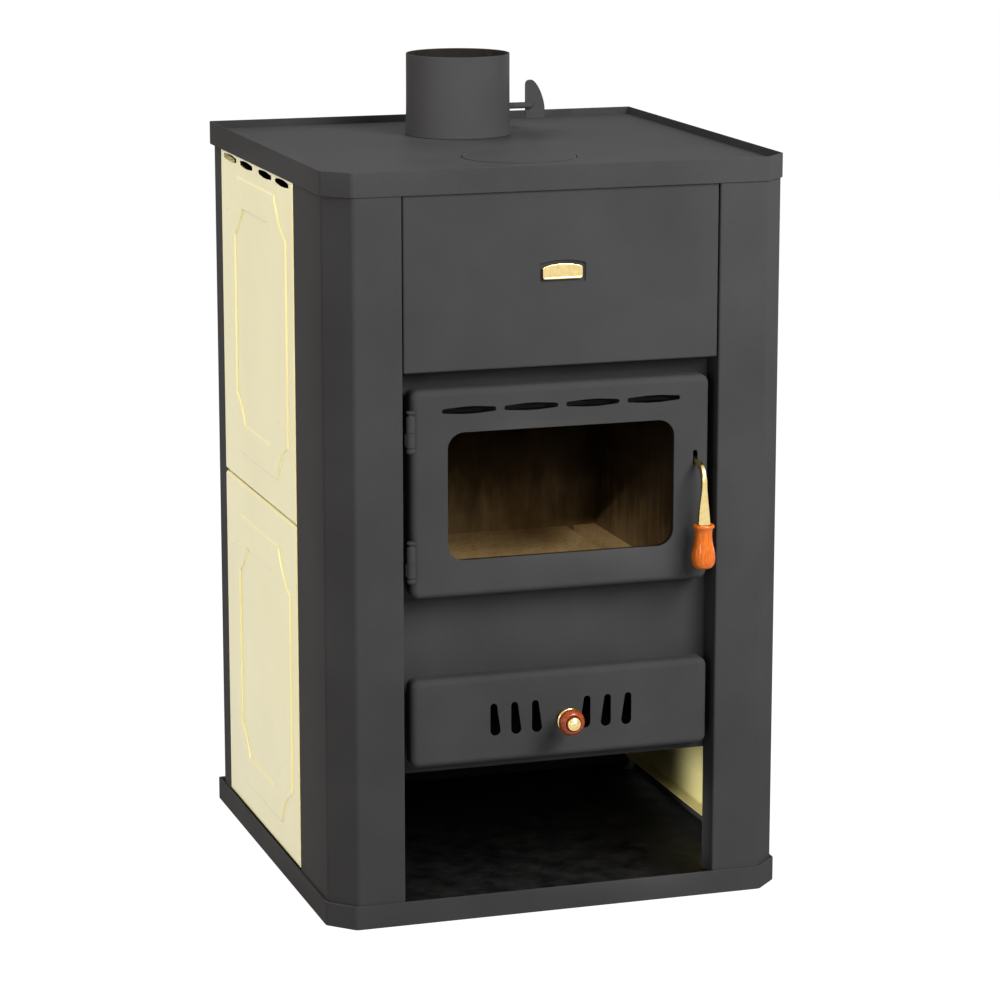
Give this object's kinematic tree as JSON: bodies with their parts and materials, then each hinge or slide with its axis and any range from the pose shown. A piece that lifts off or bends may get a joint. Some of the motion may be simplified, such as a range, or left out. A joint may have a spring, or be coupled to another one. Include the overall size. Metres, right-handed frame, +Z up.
{
  "type": "wood stove with boiler",
  "caption": "Upright wood stove with a water boiler: dark steel cabinet, pressed cream side panels, glazed fire door, ash drawer, open wood store and flue collar.",
  "frame": {"origin": "middle of the base tray's underside, where the stove stands on the floor", "axes": "+Z up, the front with the fire door faces -Y, +X to the right seen from the front"},
  "size_m": [0.573, 0.6273, 0.9944],
  "materials": {
    "charcoal_stove_paint": "matt heat-resistant stove paint on sheet steel",
    "ivory_enamel": "glossy ivory enamel on pressed sheet steel",
    "black_raw_steel": "blackened bare steel",
    "zinc_screw": "zinc-plated steel",
    "cast_iron": "bare casting",
    "fireclay": "fired clay board, sand-coloured",
    "ceramic_glass": "clear heat-resistant glass",
    "seal_rope": "woven glass fibre rope",
    "polished_brass": "polished",
    "lacquered_orange_wood": "turned wood, glossy orange lacquer",
    "lacquered_brown_wood": "turned wood, glossy red-brown lacquer"
  },
  "bodies": {
    "stove": {"base_tray": "charcoal_stove_paint", "front_column_left": "charcoal_stove_paint", "front_column_right": "charcoal_stove_paint", "rear_post_left": "charcoal_stove_paint", "rear_post_right": "charcoal_stove_paint", "side_panel_upper_left": "ivory_enamel", "side_panel_upper_right": "ivory_enamel", "side_panel_lower_left": "ivory_enamel", "side_panel_lower_right": "ivory_enamel", "back_panel": "charcoal_stove_paint", "back_screw_left_1": "zinc_screw", "back_screw_left_2": "zinc_screw", "back_screw_left_3": "zinc_screw", "back_screw_right_1": "zinc_screw", "back_screw_right_2": "zinc_screw", "back_screw_right_3": "zinc_screw", "wood_store_ceiling": "charcoal_stove_paint", "boiler_shell": "black_raw_steel", "firebox_liner": "black_raw_steel", "smoke_neck": "black_raw_steel", "smoke_box": "black_raw_steel", "flow_socket": "black_raw_steel", "return_socket": "black_raw_steel", "boiler_front_plate": "charcoal_stove_paint", "grate_shelf": "black_raw_steel", "firebox_floor_board": "fireclay", "grate": "cast_iron", "flame_baffle": "cast_iron", "upper_front_panel": "charcoal_stove_paint", "badge_plate": "polished_brass", "lid_rim": "charcoal_stove_paint", "hob_plate": "charcoal_stove_paint", "flue_collar": "charcoal_stove_paint", "damper_bearing": "black_raw_steel", "frame_knuckle_upper": "charcoal_stove_paint", "frame_knuckle_lower": "charcoal_stove_paint", "latch_keeper": "black_raw_steel"},
    "fire_door": {"door_leaf": "charcoal_stove_paint", "door_glass": "ceramic_glass", "door_seal_frame": "black_raw_steel", "door_seal_rope": "seal_rope", "door_knuckle_upper": "charcoal_stove_paint", "door_knuckle_lower": "charcoal_stove_paint", "latch_bracket": "black_raw_steel", "latch_pin": "black_raw_steel"},
    "latch": {"latch_lever": "polished_brass", "latch_grip": "lacquered_orange_wood", "latch_hook": "black_raw_steel"},
    "ash_drawer": {"drawer_front": "charcoal_stove_paint", "ash_tray": "black_raw_steel", "knob_stem": "polished_brass", "knob_ring": "lacquered_brown_wood", "knob_cap": "polished_brass"},
    "damper": {"damper_spindle": "black_raw_steel", "damper_disc": "black_raw_steel", "damper_key": "black_raw_steel"},
    "cooking_lid": {"cooking_lid": "charcoal_stove_paint"}
  },
  "joints": [
    {"name": "door_swing", "type": "hinge", "parent": "stove", "child": "fire_door", "pos_m": [-0.1865, -0.285, 0.5205], "axis": [0, 0, -1], "range_deg": [0, 110]},
    {"name": "latch_turn", "type": "hinge", "parent": "fire_door", "child": "latch", "pos_m": [0.1675, -0.2708, 0.5415], "axis": [-1, 0, 0], "range_deg": [0, 35]},
    {"name": "ash_drawer_pull", "type": "slide", "parent": "stove", "child": "ash_drawer", "axis": [0, -1, 0], "range_m": [0, 0.26]},
    {"name": "damper_turn", "type": "hinge", "parent": "stove", "child": "damper", "pos_m": [0, 0.131, 0.9256], "axis": [1, 0, 0], "range_deg": [0, 90]},
    {"name": "cooking_lid_lift", "type": "slide", "parent": "stove", "child": "cooking_lid", "axis": [0, 0, 1], "range_m": [0, 0.06]}
  ]
}
